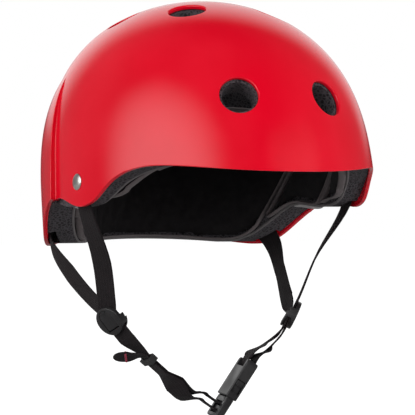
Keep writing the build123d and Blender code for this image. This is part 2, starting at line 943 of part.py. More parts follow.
# Chin webbing on the left: from the divider, round the housing's bar and back
buckle_side = buckle_plane.y_dir
turn_radius = bar_thickness / 2 + bar_clear + web_thickness / 2
left_middle = Vector(left_middle_x_share * half_width, left_middle_y, left_middle_z)
left_out = Vector(0.66, 0, -0.75) * left_bow
left_side = Vector(-divider_forward.X, divider_forward.Y, divider_forward.Z)
middle_side = (left_side + buckle_side) / 2
below = -divider_length / 2 - divider_edge
lower = below - divider_foot_bar
bar_turn = round_bar(bar_x, turn_radius, 90, -90, 4)
chin_left_stations = [
    (at_left_divider(-web_meet, -web_level), left_side),
    (at_left_divider(below, -web_level), left_side),
    (at_left_divider(lower, -2 * web_level), left_side),
    (left_middle - left_out, middle_side),
    (at_buckle(housing_start - strand_rise / 2, turn_radius), buckle_side),
]
chin_left_stations += [(point, buckle_side) for point in bar_turn]
chin_left_stations += [
    (at_buckle(housing_start - strand_rise / 2, -turn_radius), buckle_side),
    (left_middle + left_out, middle_side),
    (at_left_divider(lower, web_level / 2), left_side),
    (at_left_divider(below, web_level), left_side),
    (at_left_divider(-web_meet, web_level), left_side),
]
write(ribbon(chin_left_stations, web_thickness), "chin_strap_left")

# Chin webbing on the right: from the divider, through the keeper, to the tongue
keeper_at = Vector(keeper_x_share * half_width, keeper_y, keeper_z)
keeper_run = Vector(0.72, -0.19, -0.67).normalized()
keeper_side = Vector(0.05, -1, 0)
keeper_side = (keeper_side - keeper_run * keeper_side.dot(keeper_run)).normalized()
keeper_down = keeper_run.cross(keeper_side)
keeper_start = keeper_at - keeper_run * keeper_length
keeper_end = keeper_at + keeper_run * (keeper_travel + keeper_length)
bend_at = Vector(bend_x_share * half_width, bend_y, bend_z)
bend_side = Vector(0.4, -0.75, 0.5)
sweep_at = Vector(sweep_x_share * half_width, sweep_y, sweep_z)
sweep_side = (bend_side + buckle_side) / 2
inner_strand = ladder_bar_x - turn_radius
outer_strand = ladder_bar_x + turn_radius
approach = strand_rise + 4 * web_thickness
chin_right_stations = [
    (at_divider(0, -web_meet, web_level), divider_forward),
    (at_divider(0, below, web_level), divider_forward),
    (at_divider(0, lower, web_level / 2), divider_forward),
    (keeper_start, keeper_side),
    (keeper_at, keeper_side),
    (keeper_end, keeper_side),
    (bend_at, bend_side),
    (sweep_at, sweep_side),
    (at_buckle(inner_strand, approach), buckle_side),
    (at_buckle(inner_strand, strand_rise + root_clear), buckle_side),
]
write(ribbon(chin_right_stations, web_thickness), "chin_strap_right")

# The loop of webbing that turns round the tongue's ladder bar
loop_stations = [
    (at_buckle(inner_strand, strand_rise), buckle_side),
    (at_buckle(inner_strand, bar_thickness), buckle_side),
]
ladder_turn = round_bar(ladder_bar_x, turn_radius, 180, 360, 4)
loop_stations += [(point, buckle_side) for point in ladder_turn]
loop_stations += [
    (at_buckle(outer_strand, bar_thickness), buckle_side),
    (at_buckle(outer_strand, strand_rise), buckle_side),
]
write(ribbon(loop_stations, web_thickness), "ladder_loop")

# The tail of the webbing, back through the keeper to its folded end
sweep_down = Vector(-0.4, 0.3, -1.05) * 2 * tail_step
bend_down = Vector(-0.68, -0.68, -1.16) * tail_step
tail_down = keeper_down * tail_step
tail_fold = Vector(tail_fold_x_share * half_width, tail_fold_y, tail_fold_z)
tail_end = Vector(tail_end_x_share * half_width, tail_end_y, tail_end_z)
tail_side = Vector(-0.41, -0.745, 0.5)
tail_stations = [
    (at_buckle(outer_strand, strand_rise + root_clear), buckle_side),
    (at_buckle(outer_strand, approach), buckle_side),
    (sweep_at + sweep_down, sweep_side),
    (bend_at + bend_down, bend_side),
    (keeper_end + tail_down, keeper_side),
    (keeper_at + tail_down, keeper_side),
    (keeper_start + tail_down, keeper_side),
    (tail_fold, tail_side),
    (tail_end, tail_side),
]
write(ribbon(tail_stations, web_thickness), "strap_tail")

# Bar tack sewn across the tail
tack_run = (tail_end - tail_fold).normalized()
tack_side = tail_side - tack_run * tail_side.dot(tack_run)
tack_plane = Plane(origin=tail_fold + tack_run * tack_length, x_dir=tack_side, z_dir=tack_run)
with BuildPart() as tack:
    for side in (-1, 1):
        with Locations((0, side * ((web_thickness + tack_thickness) / 2 + tack_clear), 0)):
            Box(tack_width, tack_thickness, tack_length)
write(tack_plane.from_local_coords(tack.part), "bar_tack")

# Keeper loop round both layers
keeper_plane = Plane(
    origin=keeper_at + keeper_down * tail_step / 2, x_dir=keeper_side, z_dir=keeper_run
)
keeper_height = web_thickness + tail_step + 2 * keeper_clear
with BuildPart() as keeper:
    Box(slot_width + 2 * keeper_wall, keeper_height + 2 * keeper_wall, keeper_length)
    fillet(keeper.edges().filter_by(Axis.Z), keeper_wall)
    Box(slot_width, keeper_height, 2 * keeper_length, mode=Mode.SUBTRACT)
write(keeper_plane.from_local_coords(keeper.part), "strap_keeper")
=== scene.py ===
from math import atan2, cos, pi, radians, sin

import bmesh
import bpy
from mathutils import Matrix, Vector


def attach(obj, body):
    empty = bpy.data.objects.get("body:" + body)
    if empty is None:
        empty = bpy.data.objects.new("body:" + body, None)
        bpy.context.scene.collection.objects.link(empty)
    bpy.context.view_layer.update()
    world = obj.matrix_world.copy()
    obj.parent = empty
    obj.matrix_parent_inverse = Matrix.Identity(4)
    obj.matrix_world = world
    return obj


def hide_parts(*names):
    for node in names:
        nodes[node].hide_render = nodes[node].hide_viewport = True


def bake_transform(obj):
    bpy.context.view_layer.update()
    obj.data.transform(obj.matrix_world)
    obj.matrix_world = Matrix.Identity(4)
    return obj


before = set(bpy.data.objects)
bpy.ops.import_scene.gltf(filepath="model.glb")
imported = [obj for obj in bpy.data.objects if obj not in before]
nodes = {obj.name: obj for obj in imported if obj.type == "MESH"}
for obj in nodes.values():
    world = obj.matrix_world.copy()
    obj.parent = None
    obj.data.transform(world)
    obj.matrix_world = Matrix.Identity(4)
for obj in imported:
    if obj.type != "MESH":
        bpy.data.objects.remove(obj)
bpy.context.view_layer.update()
mm = 0.001
merge_distance = 0.002 * mm
scene = bpy.context.scene

# Camera: level with the ear flaps, on the wearer's right of straight ahead
camera_turn = radians(-28.8)
camera_distance = 1.3
photo_width = 415
focal_pixels = 1857.7
photo_shift = 4.2
sensor = 36.0

camera_data = bpy.data.cameras.new("camera")
camera_data.sensor_width = sensor
camera_data.lens = sensor * focal_pixels / photo_width
camera_data.shift_x = -photo_shift / photo_width
camera = bpy.data.objects.new("camera", camera_data)
scene.collection.objects.link(camera)
camera.location = (camera_distance * sin(camera_turn), -camera_distance * cos(camera_turn), 0)
camera.rotation_euler = (pi / 2, 0, camera_turn)
scene.camera = camera


# Dome of the helmet, the same as the solids', in millimetres
half_width = 110.5
front_reach = 118.5
rear_reach = 141.5
equator = -6.6
crown_rise = 151.7
dome_power = 3.11
lean = 0.141
lean_level = 28.0


def dome_distance(point, widen=0.0, lower=0.0):
    """How far a point in metres lies outside a dome, in millimetres, and the way out of it."""
    x, y, z = (c / mm for c in point)
    level = y - lean * (z - lean_level)
    reach = (front_reach if level < 0 else rear_reach) + widen
    rise = max(0.0, (z - equator) / (crown_rise - lower))
    value = (x / (half_width + widen)) ** 2 + (level / reach) ** 2 + rise**dome_power - 1
    along = 2 * level / reach**2
    up = dome_power * rise ** (dome_power - 1) / (crown_rise - lower) - lean * along
    gradient = Vector((2 * x / (half_width + widen) ** 2, along, up))
    return value / gradient.length, gradient.normalized()


def dome_normal(point):
    """The outward direction square to the dome at a point in metres."""
    return dome_distance(point)[1]


# Materials: numbers that the patterns share
spot_start = 0.42
spot_contrast = 4.0
fine_detail = 2.0
coarse_detail = 4.0
mottle_detail = 5.0
weave_scale = 220.0
herring_height = 0.5
furrow_height = 0.6
bead_slope = 4.0


def node_group(name, inputs, outputs):
    """A shader node group with named inputs and outputs, and its two end nodes."""
    tree = bpy.data.node_groups.new(name, "ShaderNodeTree")
    for label, value in inputs.items():
        socket = tree.interface.new_socket(label, in_out="INPUT", socket_type="NodeSocketFloat")
        socket.default_value = value
    for label in outputs:
        tree.interface.new_socket(label, in_out="OUTPUT", socket_type="NodeSocketFloat")
    return tree, tree.nodes.new("NodeGroupInput"), tree.nodes.new("NodeGroupOutput")


def maths(tree, operation, first, second=None, third=None):
    """A Math node; each value is a number or another node's socket."""
    node = tree.nodes.new("ShaderNodeMath")
    node.operation = operation
    for socket, value in zip(node.inputs, (first, second, third)):
        if value is None:
            continue
        if isinstance(value, (int, float)):
            socket.default_value = value
        else:
            tree.links.new(value, socket)
    return node.outputs[0]


def noise(tree, scale, detail, coordinate=None):
    """A Noise Texture on Object coordinates."""
    node = tree.nodes.new("ShaderNodeTexNoise")
    node.inputs["Detail"].default_value = detail
    if isinstance(scale, (int, float)):
        node.inputs["Scale"].default_value = scale
    else:
        tree.links.new(scale, node.inputs["Scale"])
    if coordinate is None:
        coordinate = tree.nodes.new("ShaderNodeTexCoord").outputs["Object"]
    tree.links.new(coordinate, node.inputs["Vector"])
    return node.outputs["Fac"]


def build_grain():
    """Fine moulded grain with sparse rubbed spots."""
    tree, given, out = node_group("moulded grain", {"Scale": 900, "Spots": 60}, ["Height", "Mask"])
    fine = noise(tree, given.outputs["Scale"], fine_detail)
    coarse = noise(tree, given.outputs["Spots"], coarse_detail)
    tree.links.new(fine, out.inputs["Height"])
    mask = maths(tree, "MULTIPLY", maths(tree, "SUBTRACT", coarse, spot_start), spot_contrast)
    clamped = maths(tree, "MINIMUM", maths(tree, "MAXIMUM", mask, 0.0), 1.0)
    tree.links.new(clamped, out.inputs["Mask"])
    return tree


def build_weave():
    """Woven webbing: ribs across it and rows along it, from the strap's own attributes."""
    tree, given, out = node_group(
        "webbing weave", {"Rib": 1.3, "Row": 1.05}, ["Height", "Mask"]
    )
    along = tree.nodes.new("ShaderNodeAttribute")
    along.attribute_name = "along"
    across = tree.nodes.new("ShaderNodeAttribute")
    across.attribute_name = "across"
    rows = maths(tree, "DIVIDE", across.outputs["Fac"], given.outputs["Row"])
    slant = maths(tree, "PINGPONG", rows, 1.0)
    ribs = maths(tree, "DIVIDE", along.outputs["Fac"], given.outputs["Rib"])
    herring = maths(tree, "SINE", maths(tree, "MULTIPLY", maths(tree, "ADD", ribs, slant), 2 * pi))
    furrow = maths(tree, "ABSOLUTE", maths(tree, "COSINE", maths(tree, "MULTIPLY", rows, pi)))
    rows_height = maths(tree, "MULTIPLY", furrow, furrow_height)
    height = maths(tree, "MULTIPLY_ADD", herring, herring_height, rows_height)
    tree.links.new(height, out.inputs["Height"])
    tree.links.new(noise(tree, weave_scale, coarse_detail), out.inputs["Mask"])
    return tree


def build_knit():
    """Brushed knit cloth: fine loops and soft mottling."""
    tree, given, out = node_group("brushed knit", {"Loops": 1500, "Mottle": 160}, ["Height", "Mask"])
    coordinate = tree.nodes.new("ShaderNodeTexCoord").outputs["Object"]
    loops = tree.nodes.new("ShaderNodeTexVoronoi")
    tree.links.new(given.outputs["Loops"], loops.inputs["Scale"])
    tree.links.new(coordinate, loops.inputs["Vector"])
    tree.links.new(loops.outputs["Distance"], out.inputs["Height"])
    tree.links.new(noise(tree, given.outputs["Mottle"], mottle_detail, coordinate), out.inputs["Mask"])
    return tree


def build_beads():
    """Pressed foam: closed beads with thin joints between them."""
    tree, given, out = node_group("foam beads", {"Scale": 420}, ["Height", "Mask"])
    coordinate = tree.nodes.new("ShaderNodeTexCoord").outputs["Object"]
    cells = tree.nodes.new("ShaderNodeTexVoronoi")
    cells.feature = "DISTANCE_TO_EDGE"
    tree.links.new(given.outputs["Scale"], cells.inputs["Scale"])
    tree.links.new(coordinate, cells.inputs["Vector"])
    rise = maths(tree, "MINIMUM", maths(tree, "MULTIPLY", cells.outputs["Distance"], bead_slope), 1.0)
    tree.links.new(rise, out.inputs["Height"])
    tree.links.new(maths(tree, "SUBTRACT", 1.0, rise), out.inputs["Mask"])
    return tree


grain, weave, knit, beads = build_grain(), build_weave(), build_knit(), build_beads()


def finish_material(name, dark, light, group, roughness, strength, depth, values=(), **sockets):
    """A material whose colour and roughness follow a group's mask, with its height as bump in millimetres."""
    made = bpy.data.materials.new(name)
    made.use_nodes = True
    tree = made.node_tree
    shader = tree.nodes["Principled BSDF"]
    pattern = tree.nodes.new("ShaderNodeGroup")
    pattern.node_tree = group
    for label, value in dict(values).items():
        pattern.inputs[label].default_value = value
    mix = tree.nodes.new("ShaderNodeMix")
    mix.data_type = "RGBA"
    mix.inputs["A"].default_value = (*dark, 1)
    mix.inputs["B"].default_value = (*light, 1)
    tree.links.new(pattern.outputs["Mask"], mix.inputs["Factor"])
    tree.links.new(mix.outputs["Result"], shader.inputs["Base Color"])
    rough = tree.nodes.new("ShaderNodeMapRange")
    rough.inputs["To Min"].default_value, rough.inputs["To Max"].default_value = roughness
    tree.links.new(pattern.outputs["Mask"], rough.inputs["Value"])
    tree.links.new(rough.outputs["Result"], shader.inputs["Roughness"])
    relief = tree.nodes.new("ShaderNodeBump")
    relief.inputs["Strength"].default_value = strength
    relief.inputs["Distance"].default_value = depth * mm
    tree.links.new(pattern.outputs["Height"], relief.inputs["Height"])
    tree.links.new(relief.outputs["Normal"], shader.inputs["Normal"])
    for label, value in sockets.items():
        shader.inputs[label.replace("_", " ")].default_value = value
    return made


shell_red = finish_material(
    "shell red", dark=(0.77, 0.001, 0.016), light=(0.81, 0.002, 0.019), group=grain,
    roughness=(0.16, 0.22), strength=0.04, depth=0.05, values={"Scale": 260, "Spots": 25},
)
foam_grey = finish_material(
    "foam grey", dark=(0.024, 0.021, 0.024), light=(0.105, 0.097, 0.106), group=beads,
    roughness=(0.75, 0.9), strength=0.5, depth=0.3,
    Specular_IOR_Level=0.25,
)
pad_knit = finish_material(
    "pad knit", dark=(0.006, 0.005, 0.006), light=(0.022, 0.020, 0.021), group=knit,
    roughness=(0.85, 0.95), strength=0.6, depth=0.3,
    Specular_IOR_Level=0.12, Sheen_Weight=0.05, Sheen_Roughness=0.5,
)
binding_grey = finish_material(
    "binding grey", dark=(0.105, 0.088, 0.090), light=(0.18, 0.155, 0.158), group=knit,
    roughness=(0.8, 0.9), strength=0.6, depth=0.25,
    Specular_IOR_Level=0.2, Sheen_Weight=0.1,
)
piping_grey = finish_material(
    "piping grey", dark=(0.12, 0.11, 0.112), light=(0.22, 0.205, 0.208), group=knit,
    roughness=(0.75, 0.9), strength=0.5, depth=0.2, values={"Loops": 2200},
    Specular_IOR_Level=0.3,
)
# Light grey of the notch rolls: a painted highlight where the liner's rounded edge catches light, not the
# cover's own colour
roll_painted_highlight = finish_material(
    "roll painted highlight", dark=(0.40, 0.38, 0.385), light=(0.56, 0.54, 0.545), group=knit,
    roughness=(0.75, 0.9), strength=0.5, depth=0.2, values={"Loops": 2200},
    Specular_IOR_Level=0.3,
)
webbing_black = finish_material(
    "webbing black", dark=(0.008, 0.006, 0.007), light=(0.022, 0.016, 0.018), group=weave,
    roughness=(0.6, 0.75), strength=0.9, depth=0.35,
    Specular_IOR_Level=0.2, Sheen_Weight=0.04, Sheen_Roughness=0.4,
)
hook_black = finish_material(
    "hook black", dark=(0.015, 0.015, 0.016), light=(0.03, 0.03, 0.032), group=knit,
    roughness=(0.7, 0.85), strength=1.0, depth=0.6, values={"Loops": 900},
)
moulded_black = finish_material(
    "moulded black", dark=(0.016, 0.015, 0.016), light=(0.028, 0.027, 0.028), group=grain,
    roughness=(0.30, 0.45), strength=0.25, depth=0.08,
)
keeper_black = finish_material(
    "keeper black", dark=(0.014, 0.014, 0.014), light=(0.026, 0.025, 0.025), group=grain,
    roughness=(0.55, 0.7), strength=0.35, depth=0.1,
)
nickel = finish_material(
    "nickel", dark=(0.70, 0.67, 0.64), light=(0.84, 0.81, 0.78), group=grain,
    roughness=(0.28, 0.42), strength=0.12, depth=0.05,
    Metallic=1.0,
)
pin_steel = finish_material(
    "pin steel", dark=(0.42, 0.42, 0.42), light=(0.55, 0.55, 0.55), group=grain,
    roughness=(0.3, 0.45), strength=0.1, depth=0.05,
    Metallic=1.0,
)
thread_red = finish_material(
    "thread red", dark=(0.30, 0.012, 0.04), light=(0.50, 0.03, 0.08), group=knit,
    roughness=(0.6, 0.75), strength=0.5, depth=0.15, values={"Loops": 3000},
    Sheen_Weight=0.4,
)


# Mesh helpers
lathe_segments = 48
tube_order = 4
tube_detail = 3
taper_end = 0.15


def piece_from(form, name, material, body, replaced=(), smooth=True):
    """Make an object of a finished bmesh, and say what it rides on and stands for."""
    mesh = bpy.data.meshes.new(name)
    form.to_mesh(mesh)
    form.free()
    piece = bpy.data.objects.new(name, mesh)
    scene.collection.objects.link(piece)
    mesh.materials.append(material)
    mesh.polygons.foreach_set("use_smooth", [smooth] * len(mesh.polygons))
    if body:
        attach(piece, body)
    if replaced:
        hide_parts(*replaced)
    return piece


def merged_copy(node):
    """A closed copy of a CAD node."""
    form = bmesh.new()
    form.from_mesh(nodes[node].data)
    bmesh.ops.remove_doubles(form, verts=form.verts, dist=merge_distance)
    bmesh.ops.recalc_face_normals(form, faces=form.faces)
    return form


def frame_at(origin, x_dir, z_dir):
    """A plane's place as a matrix, from its origin in millimetres and two directions."""
    z = Vector(z_dir).normalized()
    x = (Vector(x_dir) - z * Vector(x_dir).dot(z)).normalized()
    y = z.cross(x)
    turn = Matrix((x, y, z)).transposed().to_4x4()
    return Matrix.Translation(Vector(origin) * mm) @ turn


def lathe(form, profile, place):
    """Spin a profile of radii and heights in millimetres round a place's Z axis."""
    before = set(form.verts)
    chain = [form.verts.new((radius * mm, 0, height * mm)) for radius, height in profile]
    edges = [form.edges.new(pair) for pair in zip(chain, chain[1:])]
    bmesh.ops.spin(
        form,
        geom=chain + edges,
        cent=(0, 0, 0),
        axis=(0, 0, 1),
        angle=2 * pi,
        steps=lathe_segments,
        use_merge=True,
    )
    made = [v for v in form.verts if v not in before]
    bmesh.ops.remove_doubles(form, verts=made, dist=merge_distance / 2)
    made = [v for v in form.verts if v not in before]
    bmesh.ops.transform(form, matrix=place, verts=made)


def tube_round(points, radius, cyclic=True):
    """A tube along points, as a bmesh: a loop, or a run that tapers to both ends."""
    curve = bpy.data.curves.new("tube line", "CURVE")
    curve.dimensions = "3D"
    spline = curve.splines.new("NURBS")
    spline.points.add(len(points) - 1)
    for knot, point in zip(spline.points, points):
        knot.co = (*point, 1)
    spline.use_cyclic_u = cyclic
    if not cyclic:
        spline.use_endpoint_u = True
        curve.use_fill_caps = True
        for index, knot in enumerate(spline.points):
            full = max(0.0, sin(pi * index / (len(points) - 1))) ** 0.5
            knot.radius = taper_end + (1 - taper_end) * full
    spline.order_u = tube_order
    curve.resolution_u = tube_detail
    curve.bevel_depth = radius * mm
    curve.bevel_resolution = tube_detail
    holder = bpy.data.objects.new("tube line", curve)
    scene.collection.objects.link(holder)
    bpy.context.view_layer.update()
    mesh = bpy.data.meshes.new_from_object(holder.evaluated_get(bpy.context.evaluated_depsgraph_get()))
    form = bmesh.new()
    form.from_mesh(mesh)
    bpy.data.objects.remove(holder)
    bpy.data.curves.remove(curve)
    bmesh.ops.remove_doubles(form, verts=form.verts, dist=merge_distance)
    bmesh.ops.recalc_face_normals(form, faces=form.faces)
    return form


# Webbing
webbing_width = 15.0
webbing_thickness = 1.3
webbing_corners = 28
corner_power = 0.45
narrowest = 0.12


def mirrored(stations):
    """Stations on the other side of the helmet."""
    return [((-x, y, z), (-a, b, c)) for (x, y, z), (a, b, c) in stations]


def sweep_places(stations, steps):
    """Places along smooth webbing: each a point, its width, its thickness direction and its run."""
    points = [Vector(point) for point, _ in stations]
    widths = [Vector(side).normalized() for _, side in stations]
    runs = [(after - before).normalized() for before, after in zip(points, points[1:])]
    headings = [runs[0]]
    headings += [(before + after).normalized() for before, after in zip(runs, runs[1:])]
    headings.append(runs[-1])
    places = []
    run = 0.0
    for i in range(len(points) - 1):
        start, end = points[i], points[i + 1]
        length = (end - start).length
        leave, arrive = headings[i] * length, headings[i + 1] * length
        for k in range(steps + (i == len(points) - 2)):
            t = k / steps
            place = (
                start * (2 * t**3 - 3 * t**2 + 1)
                + leave * (t**3 - 2 * t**2 + t)
                + end * (3 * t**2 - 2 * t**3)
                + arrive * (t**3 - t**2)
            )
            heading = (
                start * (6 * t**2 - 6 * t)
                + leave * (3 * t**2 - 4 * t + 1)
                + end * (6 * t - 6 * t**2)
                + arrive * (3 * t**2 - 2 * t)
            ).normalized()
            side = widths[i].lerp(widths[i + 1], t)
            side = (side - heading * side.dot(heading)).normalized()
            if places:
                run += (place - places[-1][0]).length
            places.append((place, side, heading.cross(side), run))
    return places


def webbing(name, stations, replaced, body="helmet", steps=8, rounded=False):
    """Woven webbing swept through stations, with rounded selvedges and its run kept in attributes."""
    form = bmesh.new()
    along = form.verts.layers.float.new("along")
    across = form.verts.layers.float.new("across")
    ring = bmesh.ops.create_circle(form, segments=webbing_corners, radius=1)["verts"]
    section = []
    for vert in ring:
        turn = atan2(vert.co.y, vert.co.x)
        wide = abs(cos(turn)) ** corner_power * (1 if cos(turn) > 0 else -1)
        thick = abs(sin(turn)) ** corner_power * (1 if sin(turn) > 0 else -1)
        section.append((wide * webbing_width / 2, thick * webbing_thickness / 2))
    edges = list(form.edges)
    first = list(ring)
    places = sweep_places(stations, steps)
    whole = places[-1][3]
    for index, (place, side, out, run) in enumerate(places):
        left = min(1.0, (whole - run) / (webbing_width / 2)) if rounded else 1.0
        narrow = max(narrowest, (1 - (1 - left) ** 2) ** 0.5)
        if index:
            grown = bmesh.ops.extrude_edge_only(form, edges=edges)["geom"]
            fresh = {v for v in grown if isinstance(v, bmesh.types.BMVert)}
            following = []
            for vert in ring:
                beside = [edge.other_vert(vert) for edge in vert.link_edges]
                following.append(next(other for other in beside if other in fresh))
            edges = [e for e in grown if isinstance(e, bmesh.types.BMEdge) and fresh.issuperset(e.verts)]
            ring = following
        for vert, (wide, thick) in zip(ring, section):
            vert.co = (place + side * wide * narrow + out * thick) * mm
            vert[along] = run
            vert[across] = wide * narrow
    form.faces.new(first)
    form.faces.new(list(ring))
    bmesh.ops.recalc_face_normals(form, faces=form.faces)
    return piece_from(form, name, webbing_black, body, replaced)


# Stations of each strap: a point in millimetres and the way its width lies
front_stations = [
    ((-105.0, -13.5, 24.8), (0.10, -1.00, 0.00)),
    ((-105.2, -13.6, 16.8), (0.10, -1.00, 0.00)),
    ((-105.5, -13.6, 8.8), (0.10, -1.00, 0.00)),
    ((-85.1, 0.0, -36.8), (0.52, -0.86, 0.00)),
    ((-77.3, 8.6, -64.0), (0.44, -0.89, 0.10)),
    ((-74.7, 12.3, -72.7), (0.24, -0.87, 0.44)),
    ((-72.2, 11.7, -76.7), (0.24, -0.87, 0.44)),
]
rear_stations = [
    ((-81.3, 90.5, -4.0), (0.43, 0.56, -0.71)),
    ((-84.1, 85.6, -9.7), (0.43, 0.56, -0.71)),
    ((-91.0, 71.0, -25.5), (0.37, 0.60, -0.71)),
    ((-85.6, 50.0, -46.4), (0.04, 0.65, -0.76)),
    ((-76.1, 23.8, -67.8), (0.10, 0.82, -0.56)),
    ((-73.1, 14.6, -72.3), (-0.24, 0.87, -0.44)),
    ((-70.9, 12.4, -76.0), (-0.24, 0.87, -0.44)),
]
chin_left_stations = [
    ((69.8, 12.0, -77.5), (-0.24, -0.87, 0.44)),
    ((63.3, 9.1, -86.8), (-0.24, -0.87, 0.44)),
    ((60.1, 8.4, -90.0), (-0.24, -0.87, 0.44)),
    ((44.8, 6.5, -98.3), (-0.25, -0.94, 0.22)),
    ((29.3, -3.3, -102.8), (-0.24, -0.97, 0.00)),
    ((25.9, -2.4, -108.0), (-0.24, -0.97, 0.00)),
    ((25.5, -2.3, -109.9), (-0.24, -0.97, 0.00)),
    ((26.5, -2.6, -111.5), (-0.24, -0.97, 0.00)),
    ((28.4, -3.1, -111.9), (-0.24, -0.97, 0.00)),
    ((30.0, -3.4, -110.8), (-0.24, -0.97, 0.00)),
    ((33.4, -4.3, -105.6), (-0.24, -0.97, 0.00)),
    ((48.2, 6.5, -102.2), (-0.25, -0.94, 0.22)),
    ((61.8, 7.5, -90.9), (-0.24, -0.87, 0.44)),
    ((64.6, 8.4, -87.5), (-0.24, -0.87, 0.44)),
    ((71.1, 11.2, -78.2), (-0.24, -0.87, 0.44)),
]
chin_right_stations = [
    ((-71.1, 11.2, -78.2), (0.24, -0.87, 0.44)),
    ((-64.6, 8.4, -87.5), (0.24, -0.87, 0.44)),
    ((-61.8, 7.5, -90.9), (0.24, -0.87, 0.44)),
    ((-49.1, 7.2, -101.3), (-0.11, -0.98, 0.15)),
    ((-45.5, 6.3, -104.6), (-0.11, -0.98, 0.15)),
    ((-35.5, 3.6, -114.0), (-0.11, -0.98, 0.15)),
    ((-27.2, 2.5, -121.8), (0.41, -0.76, 0.51)),
    ((-17.1, 2.2, -129.2), (0.09, -0.96, 0.28)),
    ((-3.5, 4.9, -130.2), (-0.24, -0.97, 0.00)),
    ((0.6, 3.9, -133.1), (-0.24, -0.97, 0.00)),
]
loop_stations = [
    ((0.7, 3.9, -133.1), (-0.24, -0.97, 0.00)),
    ((6.6, 2.4, -137.3), (-0.24, -0.97, 0.00)),
    ((8.7, 1.8, -138.7), (-0.24, -0.97, 0.00)),
    ((9.8, 1.6, -140.3), (-0.24, -0.97, 0.00)),
    ((9.4, 1.7, -142.3), (-0.24, -0.97, 0.00)),
    ((7.8, 2.1, -143.3), (-0.24, -0.97, 0.00)),
    ((6.0, 2.5, -142.9), (-0.24, -0.97, 0.00)),
    ((3.9, 3.1, -141.5), (-0.24, -0.97, 0.00)),
    ((-2.1, 4.5, -137.4), (-0.24, -0.97, 0.00)),
]
tail_stations = [
    ((-2.1, 4.6, -137.3), (-0.24, -0.97, 0.00)),
    ((-6.3, 5.6, -134.4), (-0.24, -0.97, 0.00)),
    ((-18.5, 3.2, -132.9), (0.09, -0.96, 0.28)),
    ((-28.4, 1.3, -123.8), (0.41, -0.76, 0.51)),
    ((-36.7, 3.6, -115.2), (-0.11, -0.98, 0.15)),
    ((-46.7, 6.2, -105.9), (-0.11, -0.98, 0.15)),
    ((-50.3, 7.2, -102.5), (-0.11, -0.98, 0.15)),
    ((-59.1, 12.0, -103.0), (-0.42, -0.76, 0.51)),
    ((-68.3, 17.1, -103.5), (-0.42, -0.76, 0.51)),
]

webbing("front_webbing_right", front_stations, ["front_strap_right"])
webbing("front_webbing_left", mirrored(front_stations), ["front_strap_left"])
webbing("rear_webbing_right", rear_stations, ["rear_strap_right"])
webbing("rear_webbing_left", mirrored(rear_stations), ["rear_strap_left"])
webbing("chin_webbing_left", chin_left_stations, ["chin_strap_left"])
chin_right = webbing("chin_webbing_right", chin_right_stations, ["chin_strap_right"], body=None)
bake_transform(chin_right)
webbing("ladder_webbing", loop_stations, ["ladder_loop"], body="tongue")
tail = webbing("tail_webbing", tail_stations, ["strap_tail"], body=None, steps=10, rounded=True)
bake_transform(tail)


# Pads: swollen cloth covers with a bound edge where each meets the liner
pad_voxel = 2.6
pad_draw = 0.5
pad_swell = 1.6
seat_swell = 0.15
band_width = 5.4
band_thickness = 1.5
band_out = 0.55
band_corners = 12
band_spacing = 3.0
band_least_points = 12
seat_facing = 0.85
pad_pressure = 4
pad_quality = 4
pad_frames = 15


def swell(piece):
    """Blow a pad up as cloth, and keep how far each point moves small, least toward the liner."""
    rest = [v.co.copy() for v in piece.data.vertices]
    cloth = piece.modifiers.new("swell", "CLOTH")
    cloth.settings.use_pressure = True
    cloth.settings.uniform_pressure_force = pad_pressure
    cloth.settings.effector_weights.gravity = 0
    cloth.settings.quality = pad_quality
    for moment in range(1, pad_frames + 1):
        scene.frame_set(moment)
    seen = piece.evaluated_get(bpy.context.evaluated_depsgraph_get())
    moved = [v.co.copy() for v in seen.data.vertices]
    piece.modifiers.remove(cloth)
    scene.frame_set(1)
    for vert, start, end in zip(piece.data.vertices, rest, moved):
        step = end - start
        step = step.normalized() * min(step.length, pad_swell * mm)
        outward = dome_normal(start)
        toward = step.dot(outward)
        if toward > seat_swell * mm:
            step -= outward * (toward - seat_swell * mm)
        vert.co = start + step


def seat_border(form):
    """The line round the face of a pad that lies on the liner."""
    seat = {f for f in form.faces if f.normal.dot(dome_normal(f.calc_center_median())) > seat_facing}
    border = [e for e in form.edges if len([f for f in e.link_faces if f in seat]) == 1]
    links = {}
    for edge in border:
        for vert in edge.verts:
            links.setdefault(vert, []).append(edge.other_vert(vert))
    line = [border[0].verts[0]]
    seen = {line[0]}
    while True:
        ahead = [v for v in links[line[-1]] if v not in seen]
        if not ahead:
            break
        line.append(ahead[0])
        seen.add(ahead[0])
    return [v.co.copy() for v in line]


def evened(points, spacing):
    """Points at even spacing round a closed line."""
    closed = points + [points[0]]
    lengths = [(b - a).length for a, b in zip(closed, closed[1:])]
    count = max(band_least_points, round(sum(lengths) / spacing))
    pitch = sum(lengths) / count
    result, walked, index = [], 0.0, 0
    for k in range(count):
        while walked + lengths[index] < k * pitch:
            walked += lengths[index]
            index += 1
        share = (k * pitch - walked) / lengths[index]
        result.append(closed[index].lerp(closed[index + 1], share))
    return result


def band_round(line):
    """A flat bound edge that stands on the liner round a pad's border, as a bmesh."""
    form = bmesh.new()
    middle = sum(line, Vector()) / len(line)
    rings = []
    for before, point, after in zip(line[-1:] + line[:-1], line, line[1:] + line[:1]):
        up = -dome_normal(point)
        out = (after - before).cross(up).normalized()
        if out.dot(point - middle) < 0:
            out = -out
        centre = point + up * band_width / 2 * mm + out * band_out * mm
        ring = []
        for index in range(band_corners):
            turn = 2 * pi * index / band_corners
            across = up * cos(turn) * band_width / 2 + out * sin(turn) * band_thickness / 2
            ring.append(form.verts.new(centre + across * mm))
        rings.append(ring)
    for ring, following in zip(rings, rings[1:] + rings[:1]):
        for index in range(band_corners):
            ahead = (index + 1) % band_corners
            form.faces.new((ring[index], ring[ahead], following[ahead], following[index]))
    bmesh.ops.recalc_face_normals(form, faces=form.faces)
    return form


